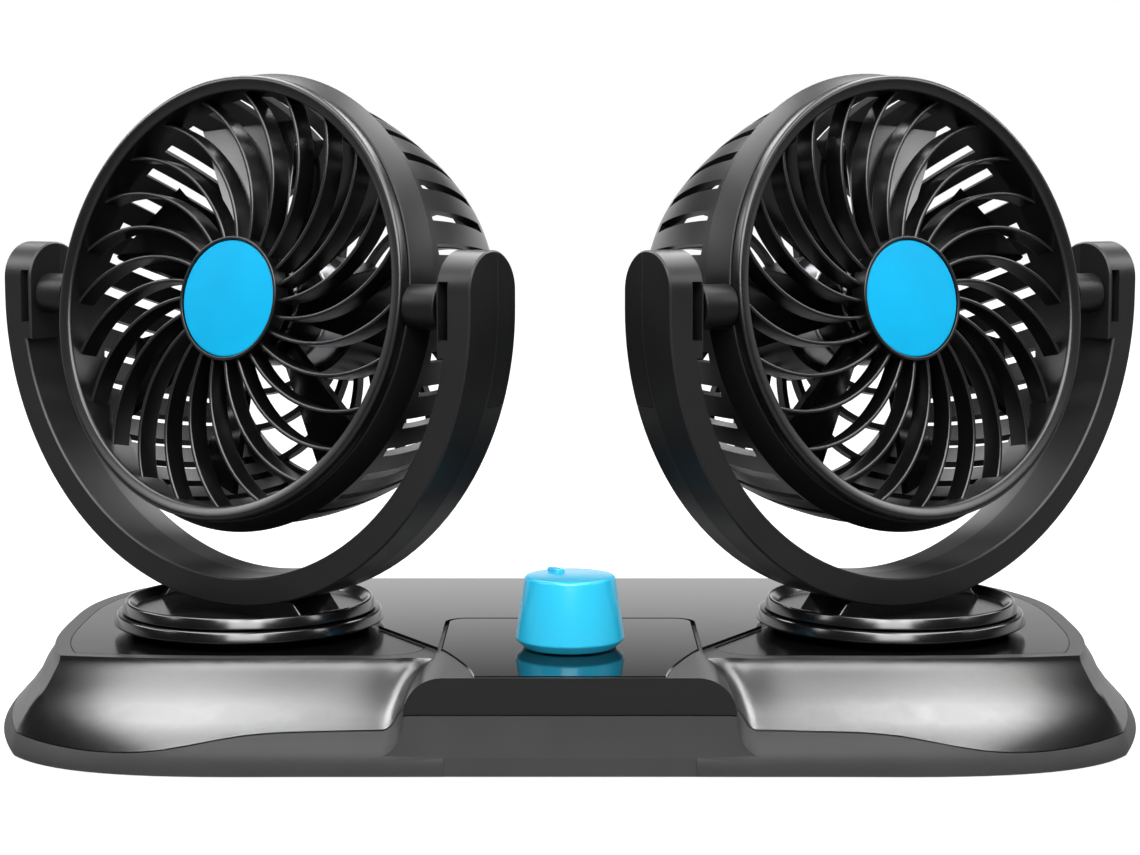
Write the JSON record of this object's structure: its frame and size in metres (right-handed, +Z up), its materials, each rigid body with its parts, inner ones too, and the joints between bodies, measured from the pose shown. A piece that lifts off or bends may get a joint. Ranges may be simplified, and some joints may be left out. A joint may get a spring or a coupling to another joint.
{
  "type": "dual head car fan",
  "caption": "Desk or dashboard fan with paired round heads on swivelling U yokes, tilting in trunnions, on a flared base with a speed knob.",
  "frame": {"origin": "middle of the base at the level that the feet stand on", "axes": "+X to the object's right as seen from the front, +Y to the back, +Z up"},
  "size_m": [0.2902, 0.1301, 0.157],
  "materials": {
    "tray_plastic": "satin",
    "base_black": "gloss",
    "deck_gloss": "mirror gloss",
    "inlay_black": "satin",
    "collar_black": "gloss",
    "plate_black": "satin",
    "yoke_black": "satin",
    "pivot_cover_black": "satin",
    "grille_black": "satin gloss",
    "band_gloss": "gloss",
    "cage_black": "satin",
    "impeller_black": "satin",
    "blue_gloss": "gloss",
    "feet_rubber": "matt",
    "screw_steel": "zinc",
    "shaft_steel": "ground",
    "motor_steel": "drawn",
    "switch_black": "matt",
    "board_green": "solder mask"
  },
  "bodies": {
    "base": {"base_tray": "tray_plastic", "base_cover": "base_black", "centre_deck": "deck_gloss", "control_panel": "deck_gloss", "rubber_feet": "feet_rubber", "base_screws": "screw_steel", "cable_grommet": "feet_rubber", "circuit_board": "board_green", "speed_switch": "switch_black", "switch_nut": "screw_steel", "left_pod_inlay": "inlay_black", "left_swivel_collar": "collar_black", "right_pod_inlay": "inlay_black", "right_swivel_collar": "collar_black"},
    "knob": {"speed_knob": "blue_gloss", "switch_shaft": "shaft_steel"},
    "left_yoke": {"left_swivel_plate": "plate_black", "left_swivel_retainer": "tray_plastic", "left_retainer_screws": "screw_steel", "left_yoke_front": "yoke_black", "left_yoke_rear": "yoke_black", "left_yoke_screws": "screw_steel", "left_pivot_covers": "pivot_cover_black"},
    "left_head": {"left_front_grille": "grille_black", "left_hub_cap": "blue_gloss", "left_head_band": "band_gloss", "left_pivot_discs": "plate_black", "left_rear_cage": "cage_black", "left_motor_can": "motor_steel", "left_motor_screws": "screw_steel"},
    "left_fan": {"left_impeller": "impeller_black", "left_motor_shaft": "shaft_steel"},
    "right_yoke": {"right_swivel_plate": "plate_black", "right_swivel_retainer": "tray_plastic", "right_retainer_screws": "screw_steel", "right_yoke_front": "yoke_black", "right_yoke_rear": "yoke_black", "right_yoke_screws": "screw_steel", "right_pivot_covers": "pivot_cover_black"},
    "right_head": {"right_front_grille": "grille_black", "right_hub_cap": "blue_gloss", "right_head_band": "band_gloss", "right_pivot_discs": "plate_black", "right_rear_cage": "cage_black", "right_motor_can": "motor_steel", "right_motor_screws": "screw_steel"},
    "right_fan": {"right_impeller": "impeller_black", "right_motor_shaft": "shaft_steel"}
  },
  "joints": [
    {"name": "left_swivel", "type": "hinge", "parent": "base", "child": "left_yoke", "pos_m": [-0.0788, -0.002, 0.0265], "axis": [0, 0, 1], "range_deg": [-107, 173]},
    {"name": "left_tilt", "type": "hinge", "parent": "left_yoke", "child": "left_head", "pos_m": [-0.0788, -0.002, 0.1019], "axis": [-0.8387, 0.5446, 0], "range_deg": [-99.4, 80.6]},
    {"name": "left_spin", "type": "hinge", "parent": "left_head", "child": "left_fan", "pos_m": [-0.0788, -0.002, 0.1019], "axis": [-0.5373, -0.8274, 0.1633], "continuous": true},
    {"name": "right_swivel", "type": "hinge", "parent": "base", "child": "right_yoke", "pos_m": [0.0788, -0.002, 0.0265], "axis": [0, 0, 1], "range_deg": [-173, 107]},
    {"name": "right_tilt", "type": "hinge", "parent": "right_yoke", "child": "right_head", "pos_m": [0.0788, -0.002, 0.1019], "axis": [-0.8387, -0.5446, 0], "range_deg": [-99.4, 80.6]},
    {"name": "right_spin", "type": "hinge", "parent": "right_head", "child": "right_fan", "pos_m": [0.0788, -0.002, 0.1019], "axis": [0.5373, -0.8274, 0.1633], "continuous": true},
    {"name": "knob_turn", "type": "hinge", "parent": "base", "child": "knob", "pos_m": [0, -0.03, 0.0247], "axis": [0, 0, 1], "range_deg": [-90, 0]}
  ]
}
